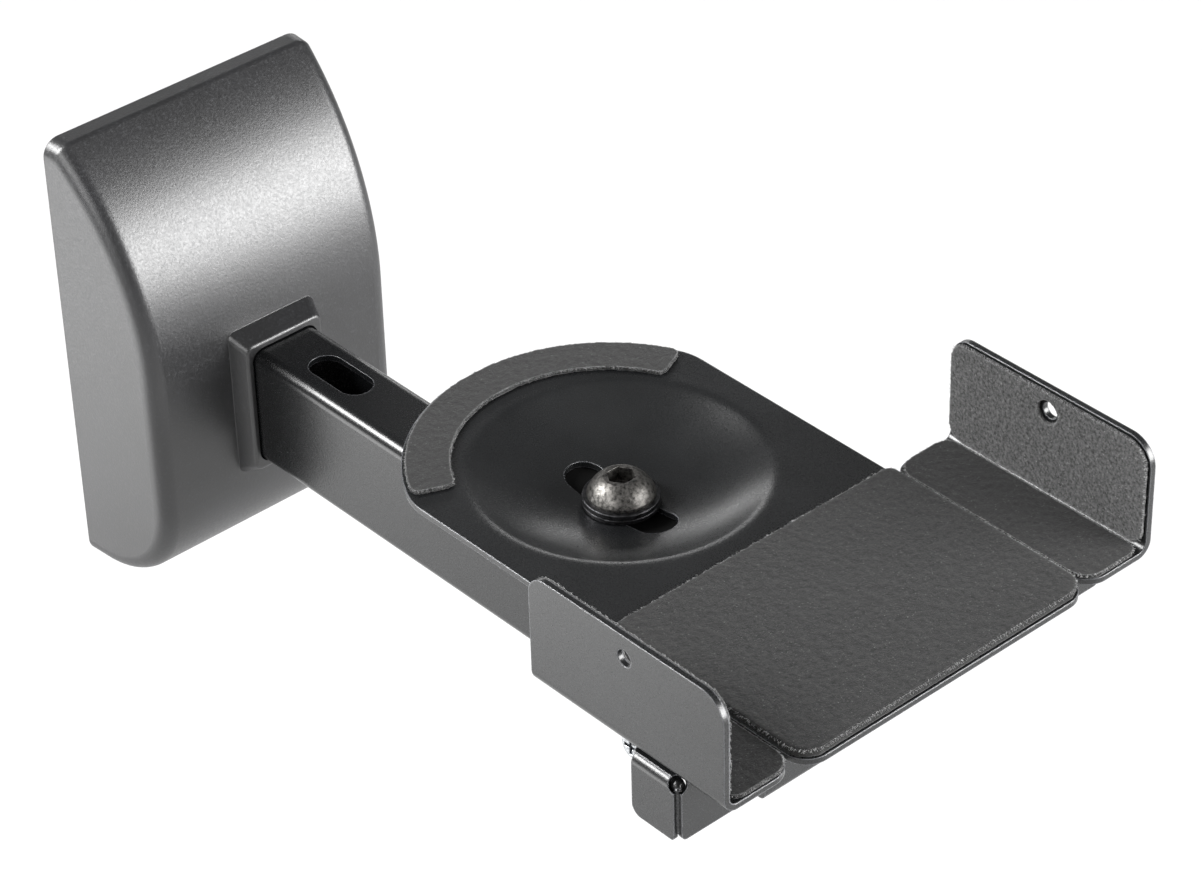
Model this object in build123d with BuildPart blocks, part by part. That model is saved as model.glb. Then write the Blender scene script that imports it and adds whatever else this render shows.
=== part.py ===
from build123d import *
import math
import os

os.makedirs("parts", exist_ok=True)

# Frame: +Z up, the wall is the plane Y = 0, and the arm reaches out along -Y.
# The origin lies on the wall at the middle of the cover. All sizes are in millimetres.

# Sheet steel and clearances
sheet = 2.0
outer_bend = 3.0
running_gap = 0.3
plug_gap = 0.2
edge_break = 0.4

# Arm: a rectangular tube
arm_width = 26.0
arm_height = 44.0
arm_wall = 2.0
arm_corner = 4.0
arm_reach = 243.0
arm_level = -15.4
cable_slot_width = 12.0
cable_slot_length = 27.0
cable_slot_reach = 80.0

# Arm end cap
cap_lip = 2.0
cap_plug_depth = 14.0
cap_wall = 1.8
cap_edge = 1.2

# Wall plate: a pressed pan with two side flanges, inside the cover
plate_side_gap = 5.25
plate_end_gap = 7.0
plate_sheet = 3.0
plate_flange = 13.0
plate_bend = 5.0
plate_corner = 4.0
wall_hole = 6.0
wall_hole_across = 56.0
wall_hole_up = 116.0

# Wall cover: a moulded shell with a collar round the arm
cover_width = 105.5
cover_height = 165.0
cover_depth = 43.5
cover_draft = 4.2
cover_wall = 2.5
cover_shoulder_depth = 6.7
cover_shoulder_round = 3.0
cover_front_top = 5.0
cover_bottom_round = 35.5
cover_edge_round = 6.2
collar_reach = 50.4
collar_width = 31.0
collar_height = 49.2
collar_flare = 5.5
collar_corner = 3.0
collar_edge = 1.2
collar_gap = 0.5

# Snap hooks of the cover and their slots in the plate flanges
hook_height = 11.0
hook_level = 48.0
hook_depth = 9.0
hook_first = 3.5
nub_depth = 3.0
nub_first = 6.0
hook_gap = 0.5

# Pivot: a bolt on a ball-shaped seat, so that the tray swivels and tilts
bolt_reach = 216.8
bolt_shank = 12.0
bolt_hole = 12.8
bolt_length = 85.0
bolt_head = 21.0
bolt_head_height = 6.6
bolt_head_flat = 11.0
bolt_head_rim = 0.9
bolt_socket = 8.0
bolt_socket_depth = 5.0
bolt_tip = 1.2
washer_size = 24.0
washer_hole = 12.6
flat_washer_thickness = 1.8
curved_washer_edge = 1.46
nut_washer_thickness = 2.5
nut_size = 18.0
nut_height = 10.0
nut_collar = 15.6
nut_collar_height = 2.0
thread_gap = 0.1
sleeve_size = 18.0
spacer_size = 24.0

# Tray and its dish
tray_level = 40.8
tray_width = 114.0
tray_reach = 354.4
tray_front_corner = 8.0
tray_rear_radius = 61.0
tray_rear_centre = 209.0
tray_rear_corner = 20.0
dish_radius = 86.0
dish_floor = 27.1
dish_rim = 4.6
dish_blank = 52.0
slot_length = 45.0
slot_width = 13.0
slot_reach = 216.5

# Seat bowl under the dish
bowl_size = 60.0
bowl_sheet = 3.0

# Pads
arc_pad_inner = 46.0
arc_pad_outer = 60.0
arc_pad_start = 24.0
half_turn = 180
arc_pad_thickness = 1.5
arc_pad_corner = 3.0
front_pad_length = 79.6
front_pad_thickness = 3.0
front_pad_inset = 0.8
front_pad_side_inset = 0.2
front_pad_corner = 7.5
front_pad_rear_corner = 3.0
clamp_pad_thickness = 1.5
flange_pad_inset = 0.8
flange_pad_rear_inset = 0.3
flange_pad_front_corner = 8.0
flange_pad_rear_corner = 5.5
flange_pad_low_corner = 3.0
flange_pad_hole = 7.5
foot_pad_inset = 0.4
foot_pad_corner = 7.0
foot_pad_outer_corner = 2.5

# Clamps, placed from the tray's edges
clamp_tray_gap = 1.0
clamp_foot = 27.2
clamp_setback = 2.2
clamp_length = 78.6
clamp_height = 37.1
clamp_bend = 5.0
clamp_front_corner = 9.0
clamp_rear_corner = 6.5
foot_corner = 8.0
foot_rear_corner = 6.0
clamp_hole = 5.5
clamp_hole_drop = 7.5

# Rail and sliders, placed from the tray's front edge
rail_sheet = 1.5
rail_inner_bend = 0.8
rail_setback = 18.4
rail_width = 27.0
rail_height = 23.0
rail_end_setback = 2.5
rail_flange = 8.0
slider_side_gap = 0.3
slider_middle_gap = 2.0
slider_bend = 3.4
slider_overhang = 0.6
slider_tab_front_inset = 1.7
slider_tab_rear_inset = 4.6
slider_tab_corner = 3.5
slider_tab_edge = 1.2
slider_leg_corner = 2.0
slider_leg_setback = 1.55
relief_hole = 5.4
relief_inset = 1.95

# Clamp screws, with the ears and nuts that they pull together
screw_behind_rail = 6.0
screw_drop = 11.8
screw_size = 5.0
screw_length = 60.0
screw_head = 10.0
screw_head_height = 3.4
screw_head_round = 2.2
screw_recess_width = 1.2
screw_recess_length = 5.4
screw_recess_depth = 2.0
screw_hole = 5.6
ear_height = 14.0
ear_edge = 7.0
ear_corner = 5.0
slider_ear_setback = 16.2
ear_window = 12.0
screw_nut_size = 8.0
screw_nut_height = 4.0

# Places that follow from the sizes above
plate_width = cover_width - 2 * cover_wall - 2 * plate_side_gap
plate_height = cover_height - 2 * cover_wall - 2 * plate_end_gap
arm_top = arm_level + arm_height / 2
arm_bottom = arm_level - arm_height / 2
tray_bottom = tray_level - sheet
ball_centre = dish_floor + dish_radius
slider_top = tray_bottom - running_gap
foot_level = slider_top + sheet
rail_bottom = tray_bottom - rail_height
rail_reach = tray_reach - rail_setback - rail_width / 2
rail_half_length = tray_width / 2 - rail_end_setback
rail_front = -rail_reach - rail_width / 2
rail_rear = -rail_reach + rail_width / 2
slider_width = rail_width - 2 * rail_sheet - 2 * slider_side_gap
slider_front = -rail_reach - slider_width / 2
slider_rear = -rail_reach + slider_width / 2
slider_bottom = rail_bottom + rail_sheet + running_gap
clamp_inner = tray_width / 2 + clamp_tray_gap
clamp_outer = clamp_inner + clamp_foot
clamp_top = foot_level + clamp_height
clamp_front = -tray_reach + clamp_setback
clamp_middle = clamp_front + clamp_length / 2
clamp_hole_level = clamp_top - clamp_hole_drop
slider_end = clamp_outer + slider_overhang
slider_ear = slider_end - slider_ear_setback
screw_reach = -rail_rear - screw_behind_rail
screw_level = tray_bottom - screw_drop
ear_end = -screw_reach + ear_edge

bolt_axis = Axis((0, -bolt_reach, 0), (0, 0, 1))
bolt_plane = Plane.XZ.offset(bolt_reach)


def ball_point(ball, reach):
    """Point at a distance from the bolt axis on a ball round the tilt centre."""
    return (reach, ball_centre - math.sqrt(ball**2 - reach**2))


def finish(piece, name):
    piece.part.label = name
    export_step(piece.part, f"parts/{name}.step")


# Wall plate
with BuildPart() as wall_plate:
    with BuildSketch(Plane.XY.offset(-plate_height / 2)):
        with BuildLine():
            FilletPolyline(
                (-plate_width / 2, -plate_flange),
                (-plate_width / 2, 0),
                (plate_width / 2, 0),
                (plate_width / 2, -plate_flange),
                radius=plate_bend,
            )
            offset(amount=plate_sheet, side=Side.RIGHT)
        make_face()
    extrude(amount=plate_height)
    flange_ends = wall_plate.edges().filter_by(Axis.X).group_by(Axis.Y)[0]
    fillet(flange_ends, plate_corner)
    with BuildSketch(Plane.XZ):
        with GridLocations(wall_hole_across, wall_hole_up, 2, 2):
            Circle(wall_hole / 2)
        with Locations((0, arm_level)):
            RectangleRounded(
                arm_width - 2 * arm_wall, arm_height - 2 * arm_wall, arm_corner - arm_wall
            )
    extrude(amount=plate_sheet, mode=Mode.SUBTRACT)
    with BuildSketch(Plane.YZ):
        with GridLocations(0, 2 * hook_level, 1, 2):
            with Locations((-nub_first - nub_depth / 2, 0)):
                Rectangle(nub_depth + 2 * hook_gap, hook_height + 2 * hook_gap)
    extrude(amount=plate_width, both=True, mode=Mode.SUBTRACT)
finish(wall_plate, "wall_plate")

# Arm tube
with BuildPart() as arm_tube:
    with BuildSketch(Plane.XZ.offset(plate_sheet)):
        with Locations((0, arm_level)):
            RectangleRounded(arm_width, arm_height, arm_corner)
            RectangleRounded(
                arm_width - 2 * arm_wall,
                arm_height - 2 * arm_wall,
                arm_corner - arm_wall,
                mode=Mode.SUBTRACT,
            )
    extrude(amount=arm_reach - plate_sheet)
    with BuildSketch(Plane.XY.offset(arm_top)):
        with Locations((0, -cable_slot_reach)):
            SlotOverall(cable_slot_length, cable_slot_width, rotation=90)
    extrude(amount=-2 * arm_wall, mode=Mode.SUBTRACT)
    with Locations((0, -bolt_reach, arm_top)):
        Hole(bolt_hole / 2, depth=arm_height)
finish(arm_tube, "arm_tube")

# Arm end cap
with BuildPart() as arm_end_cap:
    with BuildSketch(Plane.XZ.offset(arm_reach)):
        with Locations((0, arm_level)):
            RectangleRounded(arm_width, arm_height, arm_corner)
    extrude(amount=cap_lip)
    lip_face = arm_end_cap.faces().sort_by(Axis.Y)[0]
    fillet(lip_face.edges(), cap_edge)
    plug_width = arm_width - 2 * arm_wall - 2 * plug_gap
    plug_height = arm_height - 2 * arm_wall - 2 * plug_gap
    with BuildSketch(Plane.XZ.offset(arm_reach)):
        with Locations((0, arm_level)):
            RectangleRounded(plug_width, plug_height, arm_corner - arm_wall)
            Rectangle(plug_width - 2 * cap_wall, plug_height - 2 * cap_wall, mode=Mode.SUBTRACT)
    extrude(amount=-cap_plug_depth)
finish(arm_end_cap, "arm_end_cap")

# Wall cover
with BuildPart() as wall_cover:
    with BuildSketch(Plane.YZ) as side_profile:
        with BuildLine():
            FilletPolyline(
                (0, -cover_height / 2),
                (-cover_depth, -cover_height / 2),
                (-cover_depth, cover_front_top),
                radius=cover_bottom_round,
            )
            TangentArc(
                (-cover_depth, cover_front_top),
                (-cover_shoulder_depth, cover_height / 2),
                tangent=(0, 1),
            )
            Polyline(
                (-cover_shoulder_depth, cover_height / 2),
                (0, cover_height / 2),
                (0, -cover_height / 2),
            )
        make_face()
        shoulder = side_profile.vertices().group_by(Axis.Y)[-1].sort_by(Axis.X)[0]
        fillet(shoulder, cover_shoulder_round)
    extrude(amount=cover_width, both=True)
    cover_front_width = cover_width - 2 * cover_depth * math.tan(math.radians(cover_draft))
    with BuildSketch(Plane.XY):
        with BuildLine():
            Polyline(
                (-cover_width / 2, 0),
                (cover_width / 2, 0),
                (cover_front_width / 2, -cover_depth),
                (-cover_front_width / 2, -cover_depth),
                close=True,
            )
        make_face()
    extrude(amount=cover_height, both=True, mode=Mode.INTERSECT)
    side_faces = wall_cover.faces().sort_by(Axis.X)
    side_edges = side_faces[0].edges() + side_faces[-1].edges()
    fillet(side_edges.filter_by(lambda e: e.center().Y < -edge_break), cover_edge_round)
    open_back = wall_cover.faces().sort_by(Axis.Y)[-1]
    offset(amount=-cover_wall, openings=open_back)
    # Collar, flared towards its root
    with BuildSketch(Plane.XZ.offset(cover_depth - cover_wall / 2)):
        with Locations((0, arm_level)):
            RectangleRounded(
                collar_width + collar_flare, collar_height + 1.5 * collar_flare, collar_corner
            )
    with BuildSketch(Plane.XZ.offset(collar_reach)):
        with Locations((0, arm_level)):
            RectangleRounded(collar_width, collar_height, collar_corner)
    loft()
    collar_face = wall_cover.faces().sort_by(Axis.Y)[0]
    fillet(collar_face.edges(), collar_edge)
    with BuildSketch(Plane.XZ.offset(collar_reach)):
        with Locations((0, arm_level)):
            RectangleRounded(
                arm_width + 2 * collar_gap, arm_height + 2 * collar_gap, arm_corner + collar_gap
            )
    extrude(amount=-2 * (collar_reach - cover_depth + cover_wall), mode=Mode.SUBTRACT)
    # Snap hooks that reach through the plate flanges
    hook_root = cover_width / 2 - cover_wall
    hook_face = plate_width / 2 + running_gap
    hook_tip = plate_width / 2 - plate_sheet
    for side in (-1, 1):
        for level in (-hook_level, hook_level):
            with Locations((side * (hook_root + hook_face) / 2, -hook_first - hook_depth / 2, level)):
                Box(hook_root - hook_face, hook_depth, hook_height)
            with Locations((side * (hook_root + hook_tip) / 2, -nub_first - nub_depth / 2, level)):
                Box(hook_root - hook_tip, nub_depth, hook_height)
finish(wall_cover, "wall_cover")

# Seat spacer on the arm, hollowed on top to carry the bowl
with BuildPart() as seat_spacer:
    bowl_under = dish_radius + sheet + running_gap + bowl_sheet
    with BuildSketch(bolt_plane):
        with BuildLine():
            inner_top = ball_point(bowl_under, bolt_hole / 2)
            outer_top = ball_point(bowl_under, spacer_size / 2)
            Polyline(
                inner_top, (bolt_hole / 2, arm_top), (spacer_size / 2, arm_top), outer_top
            )
            RadiusArc(outer_top, inner_top, bowl_under)
        make_face()
    revolve(axis=bolt_axis)
finish(seat_spacer, "seat_spacer")

# Seat bowl, one running gap below the dish
with BuildPart() as seat_bowl:
    bowl_over = bowl_under - bowl_sheet
    with BuildSketch(bolt_plane) as bowl_section:
        with BuildLine():
            inner_low = ball_point(bowl_under, bolt_hole / 2)
            outer_low = ball_point(bowl_under, bowl_size / 2)
            inner_high = ball_point(bowl_over, bolt_hole / 2)
            outer_high = ball_point(bowl_over, bowl_size / 2)
            RadiusArc(outer_low, inner_low, bowl_under)
            Line(inner_low, inner_high)
            RadiusArc(outer_high, inner_high, bowl_over)
            Line(outer_high, outer_low)
        make_face()
        bowl_rim = bowl_section.vertices().sort_by(Axis.X)[-2:]
        fillet(bowl_rim, bowl_sheet / 3)
    revolve(axis=bolt_axis)
finish(seat_bowl, "seat_bowl")

# Crush sleeve inside the arm
with BuildPart() as crush_sleeve:
    with BuildSketch(Plane.XY.offset(arm_bottom + arm_wall)):
        with Locations((0, -bolt_reach)):
            Circle(sleeve_size / 2)
            Circle(bolt_hole / 2, mode=Mode.SUBTRACT)
    extrude(amount=arm_height - 2 * arm_wall)
finish(crush_sleeve, "crush_sleeve")

# Curved washer that rides in the dish
with BuildPart() as curved_washer:
    washer_ball = dish_radius - running_gap
    with BuildSketch(bolt_plane):
        with BuildLine():
            washer_in = ball_point(washer_ball, washer_hole / 2)
            washer_out = ball_point(washer_ball, washer_size / 2)
            curved_washer_top = washer_out[1] + curved_washer_edge
            Polyline(
                washer_in,
                (washer_hole / 2, curved_washer_top),
                (washer_size / 2, curved_washer_top),
                washer_out,
            )
            RadiusArc(washer_out, washer_in, washer_ball)
        make_face()
    revolve(axis=bolt_axis)
    fillet(curved_washer.edges().group_by(Axis.Z)[-1].sort_by(SortBy.RADIUS)[-1], edge_break)
finish(curved_washer, "curved_washer")

# Flat washer
with BuildPart() as flat_washer:
    with BuildSketch(Plane.XY.offset(curved_washer_top)):
        with Locations((0, -bolt_reach)):
            Circle(washer_size / 2)
            Circle(washer_hole / 2, mode=Mode.SUBTRACT)
    extrude(amount=flat_washer_thickness)
    fillet(flat_washer.edges().group_by(Axis.Z)[-1].sort_by(SortBy.RADIUS)[-1], edge_break)
finish(flat_washer, "flat_washer")

# Pivot bolt with a domed socket head
head_level = curved_washer_top + flat_washer_thickness
with BuildPart() as pivot_bolt:
    with BuildSketch(bolt_plane):
        with BuildLine():
            head_rim = (bolt_head / 2, head_level + bolt_head_rim)
            head_flat = (bolt_head_flat / 2, head_level + bolt_head_height)
            Polyline((0, head_level), (bolt_head / 2, head_level), head_rim)
            RadiusArc(head_rim, head_flat, -bolt_head / 2)
            Polyline(head_flat, (0, head_level + bolt_head_height), (0, head_level))
        make_face()
    revolve(axis=bolt_axis)
    with BuildSketch(Plane.XY.offset(head_level)):
        with Locations((0, -bolt_reach)):
            Circle(bolt_shank / 2)
    extrude(amount=-bolt_length)
    chamfer(pivot_bolt.edges().group_by(Axis.Z)[0], bolt_tip)
    with BuildSketch(Plane.XY.offset(head_level + bolt_head_height)):
        with Locations((0, -bolt_reach)):
            RegularPolygon(bolt_socket / 2, 6, major_radius=False)
    extrude(amount=-bolt_socket_depth, mode=Mode.SUBTRACT)
finish(pivot_bolt, "pivot_bolt")

# Washer under the arm
with BuildPart() as nut_washer:
    with BuildSketch(Plane.XY.offset(arm_bottom)):
        with Locations((0, -bolt_reach)):
            Circle(washer_size / 2)
            Circle(washer_hole / 2, mode=Mode.SUBTRACT)
    extrude(amount=-nut_washer_thickness)
    fillet(nut_washer.edges().group_by(Axis.Z)[0].sort_by(SortBy.RADIUS)[-1], edge_break)
finish(nut_washer, "nut_washer")

# Lock nut
with BuildPart() as lock_nut:
    with BuildSketch(Plane.XY.offset(arm_bottom - nut_washer_thickness)):
        with Locations((0, -bolt_reach)):
            RegularPolygon(nut_size / 2, 6, major_radius=False)
    extrude(amount=-nut_height)
    with BuildSketch(Plane.XY.offset(arm_bottom - nut_washer_thickness - nut_height)):
        with Locations((0, -bolt_reach)):
            Circle(nut_collar / 2)
    extrude(amount=-nut_collar_height)
    fillet(lock_nut.edges().group_by(Axis.Z)[0], edge_break)
    with Locations((0, -bolt_reach, arm_bottom)):
        Hole(bolt_shank / 2 + thread_gap, depth=2 * nut_height)
finish(lock_nut, "lock_nut")

# Tray: a flat sheet with a round dish pressed into its rear end
with BuildPart() as tray:
    with BuildSketch(Plane.XY.offset(tray_bottom)) as tray_outline:
        with Locations((0, -tray_rear_centre)):
            Circle(tray_rear_radius)
        with Locations((0, -(tray_reach + tray_rear_centre) / 2)):
            Rectangle(2 * tray_rear_radius, tray_reach - tray_rear_centre)
        with Locations((0, -tray_reach / 2)):
            Rectangle(tray_width, tray_reach, mode=Mode.INTERSECT)
        tray_corners = tray_outline.vertices().group_by(Axis.Y)
        fillet(tray_corners[-1], tray_rear_corner)
        fillet(tray_outline.vertices().group_by(Axis.Y)[0], tray_front_corner)
        with Locations((0, -bolt_reach)):
            Circle(dish_blank, mode=Mode.SUBTRACT)
    extrude(amount=sheet)
    with BuildSketch(bolt_plane) as dish_section:
        with BuildLine():
            under_radius = dish_radius + sheet
            rim_over = math.sqrt(dish_radius**2 - (ball_centre - tray_level) ** 2)
            rim_under = math.sqrt(under_radius**2 - (ball_centre - tray_bottom) ** 2)
            Polyline(
                (rim_over, tray_level),
                (dish_blank, tray_level),
                (dish_blank, tray_bottom),
                (rim_under, tray_bottom),
            )
            RadiusArc((rim_under, tray_bottom), (0, ball_centre - under_radius), under_radius)
            Line((0, ball_centre - under_radius), (0, dish_floor))
            RadiusArc((rim_over, tray_level), (0, dish_floor), dish_radius)
        make_face()
        rim_high = dish_section.vertices().group_by(Axis.Y)[-1].sort_by(Axis.X)[0]
        fillet(rim_high, dish_rim)
        on_bottom = dish_section.vertices().filter_by(lambda v: abs(v.Y - tray_bottom) < edge_break)
        fillet(on_bottom.sort_by(Axis.X)[-2], dish_rim - sheet)
    revolve(axis=bolt_axis)
    with BuildSketch(Plane.XY.offset(tray_level)):
        with Locations((0, -slot_reach)):
            SlotOverall(slot_length, slot_width, rotation=90)
    extrude(amount=dish_floor - tray_level - 2 * sheet, mode=Mode.SUBTRACT)
finish(tray, "tray")

# Arc pad round the back of the dish
with BuildPart() as arc_pad:
    with BuildSketch(Plane.XY.offset(tray_level)) as arc_pad_outline:
        with BuildLine():
            arc_centre = (0, -tray_rear_centre)
            arc_sweep = half_turn - 2 * arc_pad_start
            outer_arc = CenterArc(arc_centre, arc_pad_outer, arc_pad_start, arc_sweep)
            inner_arc = CenterArc(arc_centre, arc_pad_inner, arc_pad_start, arc_sweep)
            Line(outer_arc @ 0, inner_arc @ 0)
            Line(outer_arc @ 1, inner_arc @ 1)
        make_face()
        fillet(arc_pad_outline.vertices(), arc_pad_corner)
    extrude(amount=arc_pad_thickness)
finish(arc_pad, "arc_pad")

# Front pad
with BuildPart() as front_pad:
    with BuildSketch(Plane.XY.offset(tray_level)) as front_pad_outline:
        with Locations((0, -tray_reach + front_pad_inset + front_pad_length / 2)):
            Rectangle(tray_width - 2 * front_pad_side_inset, front_pad_length)
        fillet(front_pad_outline.vertices().group_by(Axis.Y)[0], front_pad_corner)
        fillet(front_pad_outline.vertices().group_by(Axis.Y)[-1], front_pad_rear_corner)
    extrude(amount=front_pad_thickness)
finish(front_pad, "front_pad")

# Rail: a folded channel under the tray, with an ear for a nut at each end
with BuildPart() as rail:
    with BuildSketch(Plane.YZ):
        with BuildLine():
            FilletPolyline(
                (rail_front - rail_flange, tray_bottom),
                (rail_front + rail_sheet, tray_bottom),
                (rail_front + rail_sheet, rail_bottom + rail_sheet),
                (rail_rear - rail_sheet, rail_bottom + rail_sheet),
                (rail_rear - rail_sheet, tray_bottom),
                (rail_rear + rail_flange, tray_bottom),
                radius=[outer_bend, rail_inner_bend, rail_inner_bend, outer_bend],
            )
            offset(amount=rail_sheet, side=Side.RIGHT)
        make_face()
    extrude(amount=rail_half_length, both=True)
    for side in (-1, 1):
        rail_ear_middle = side * (rail_half_length - sheet / 2)
        with Locations((rail_ear_middle, (rail_rear + ear_end) / 2, screw_level)):
            Box(sheet, ear_end - rail_rear, ear_height)
    ear_edges = rail.edges().filter_by(Axis.X).group_by(Axis.Y)[-1]
    fillet(ear_edges, ear_corner)
    with BuildSketch(Plane.YZ):
        with Locations((-screw_reach, screw_level)):
            Circle(screw_hole / 2)
    extrude(amount=rail_half_length, both=True, mode=Mode.SUBTRACT)
finish(rail, "rail")

# Slider: an inverted channel with a folded end tab and an ear for the screw
with BuildPart() as right_slider:
    with BuildSketch(Plane.YZ.offset(slider_middle_gap / 2)):
        with BuildLine():
            FilletPolyline(
                (slider_front, slider_bottom),
                (slider_front, slider_top),
                (slider_rear, slider_top),
                (slider_rear, slider_bottom),
                radius=outer_bend,
            )
            offset(amount=rail_sheet, side=Side.RIGHT)
        make_face()
    extrude(amount=slider_end - slider_leg_setback - slider_middle_gap / 2)
    leg_ends = right_slider.edges().filter_by(Axis.Y).group_by(Axis.Z)[0].group_by(Axis.X)[-1]
    fillet(leg_ends, slider_leg_corner)
    # End tab
    with BuildSketch(Plane.XZ.offset(-slider_front - slider_tab_front_inset)):
        with BuildLine():
            FilletPolyline(
                (slider_end - slider_leg_setback - slider_bend, slider_top),
                (slider_end, slider_top),
                (slider_end, slider_bottom),
                radius=slider_bend,
            )
            offset(amount=rail_sheet, side=Side.RIGHT)
        make_face()
    extrude(amount=slider_tab_front_inset + slider_tab_rear_inset - slider_width)
    tab_corners = right_slider.edges().filter_by(Axis.X).group_by(Axis.Z)[0].group_by(Axis.X)[-1]
    fillet(tab_corners.sort_by(Axis.Y)[-1], slider_tab_corner)
    tab_corners = right_slider.edges().filter_by(Axis.X).group_by(Axis.Z)[0].group_by(Axis.X)[-1]
    fillet(tab_corners.sort_by(Axis.Y)[0], slider_tab_edge)
    # Round relief holes at the corners of the fold
    with Locations(
        (slider_end - relief_inset, slider_front + relief_inset, slider_top - relief_inset),
        (slider_end - relief_inset, slider_rear - relief_inset, slider_top - relief_inset),
    ):
        Sphere(relief_hole / 2, mode=Mode.SUBTRACT)
    # Ear folded out of the rear leg, and the window that it leaves
    with BuildSketch(Plane.XZ.offset(-slider_rear)):
        with Locations((slider_ear - rail_sheet + ear_window / 2, screw_level)):
            Rectangle(ear_window, ear_height)
    extrude(amount=2 * sheet, mode=Mode.SUBTRACT)
    with BuildSketch(Plane.XY.offset(screw_level - ear_height / 2)):
        with BuildLine():
            FilletPolyline(
                (slider_ear - 3 * outer_bend, slider_rear),
                (slider_ear - rail_sheet, slider_rear),
                (slider_ear - rail_sheet, ear_end),
                radius=outer_bend - rail_sheet,
            )
            offset(amount=rail_sheet, side=Side.RIGHT)
        make_face()
    extrude(amount=ear_height)
    slider_ear_edges = right_slider.edges().filter_by(Axis.X).group_by(Axis.Y)[-1]
    fillet(slider_ear_edges, ear_corner)
    with BuildSketch(Plane.YZ.offset(slider_ear)):
        with Locations((-screw_reach, screw_level)):
            Circle(screw_hole / 2)
    extrude(amount=-2 * sheet, mode=Mode.SUBTRACT)

# Clamp: a foot with an upright flange
with BuildPart() as right_clamp:
    with BuildSketch(Plane.XZ.offset(-clamp_front)):
        with BuildLine():
            FilletPolyline(
                (clamp_inner, foot_level - sheet),
                (clamp_outer, foot_level - sheet),
                (clamp_outer, clamp_top),
                radius=clamp_bend,
            )
            offset(amount=sheet, side=Side.LEFT)
        make_face()
    extrude(amount=-clamp_length)
    foot_edges = right_clamp.edges().filter_by(Axis.Z).group_by(Axis.X)[0].sort_by(Axis.Y)
    fillet(foot_edges[0], foot_corner)
    fillet(foot_edges[-1], foot_rear_corner)
    top_edges = right_clamp.edges().filter_by(Axis.X).group_by(Axis.Z)[-1].sort_by(Axis.Y)
    fillet(top_edges[0], clamp_front_corner)
    fillet(top_edges[-1], clamp_rear_corner)
    with BuildSketch(Plane.YZ.offset(clamp_outer)):
        with Locations((clamp_middle, clamp_hole_level)):
            Circle(clamp_hole / 2)
    extrude(amount=-2 * sheet, mode=Mode.SUBTRACT)

# Pad on the flange, above the bend
flange_inner = clamp_outer - sheet
inner_bend = clamp_bend - sheet
flange_pad_front = clamp_front + flange_pad_inset
flange_pad_rear = clamp_front + clamp_length - flange_pad_rear_inset
flange_pad_bottom = foot_level + inner_bend
flange_pad_top = clamp_top - flange_pad_inset
with BuildPart() as right_flange_pad:
    with BuildSketch(Plane.YZ.offset(flange_inner)) as flange_pad_outline:
        with BuildLine():
            Polyline(
                (flange_pad_front, flange_pad_bottom),
                (flange_pad_rear, flange_pad_bottom),
                (flange_pad_rear, flange_pad_top),
                (flange_pad_front, flange_pad_top),
                close=True,
            )
        make_face()
        low_corners = flange_pad_outline.vertices().group_by(Axis.Y)[0]
        fillet(low_corners, flange_pad_low_corner)
        high_corners = flange_pad_outline.vertices().group_by(Axis.Y)[-1].sort_by(Axis.X)
        fillet(high_corners[0], flange_pad_front_corner)
        fillet(high_corners[-1], flange_pad_rear_corner)
        with Locations((clamp_middle, clamp_hole_level)):
            Circle(flange_pad_hole / 2, mode=Mode.SUBTRACT)
    extrude(amount=-clamp_pad_thickness)

# Pad on the foot
foot_pad_inner = clamp_inner + foot_pad_inset
foot_pad_outer = flange_inner - inner_bend
with BuildPart() as right_foot_pad:
    with BuildSketch(Plane.XY.offset(foot_level)) as foot_pad_outline:
        with Locations(((foot_pad_inner + foot_pad_outer) / 2, clamp_middle)):
            Rectangle(foot_pad_outer - foot_pad_inner, clamp_length - 2 * foot_pad_inset)
        fillet(foot_pad_outline.vertices().group_by(Axis.X)[0], foot_pad_corner)
        fillet(foot_pad_outline.vertices().group_by(Axis.X)[-1], foot_pad_outer_corner)
    extrude(amount=clamp_pad_thickness)

# Clamp screw, its head against the slider's ear
screw_plane = Plane(origin=(slider_ear, -screw_reach, screw_level), x_dir=(1, 0, 0), z_dir=(0, 0, 1))
screw_axis = Axis((slider_ear, -screw_reach, screw_level), (1, 0, 0))
with BuildPart() as right_clamp_screw:
    with BuildSketch(screw_plane) as screw_section:
        with Locations((screw_head_height / 2, screw_head / 4)):
            Rectangle(screw_head_height, screw_head / 2)
        outer_corner = screw_section.vertices().group_by(Axis.X)[-1].sort_by(Axis.Y)[-1]
        fillet(outer_corner, screw_head_round)
        with Locations((-screw_length / 2, screw_size / 4)):
            Rectangle(screw_length, screw_size / 2)
    revolve(axis=screw_axis)
    chamfer(right_clamp_screw.edges().group_by(Axis.X)[0], screw_size / 6)
    with BuildSketch(Plane.YZ.offset(slider_ear + screw_head_height)):
        with Locations((-screw_reach, screw_level)):
            Rectangle(screw_recess_length, screw_recess_width)
            Rectangle(screw_recess_width, screw_recess_length)
    extrude(amount=-screw_recess_depth, mode=Mode.SUBTRACT)

# Nut behind the rail's ear
with BuildPart() as right_clamp_nut:
    with BuildSketch(Plane.YZ.offset(rail_half_length - sheet)):
        with Locations((-screw_reach, screw_level)):
            RegularPolygon(screw_nut_size / 2, 6, major_radius=False)
            Circle(screw_size / 2 + thread_gap, mode=Mode.SUBTRACT)
    extrude(amount=-screw_nut_height)

# The left side mirrors the right
right_pieces = {
    "slider": right_slider,
    "clamp": right_clamp,
    "flange_pad": right_flange_pad,
    "foot_pad": right_foot_pad,
    "clamp_screw": right_clamp_screw,
    "clamp_nut": right_clamp_nut,
}
for piece_name, right_piece in right_pieces.items():
    finish(right_piece, "right_" + piece_name)
    with BuildPart() as left_piece:
        mirror(right_piece.part, about=Plane.YZ)
    finish(left_piece, "left_" + piece_name)
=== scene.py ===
import math
import random

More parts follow.
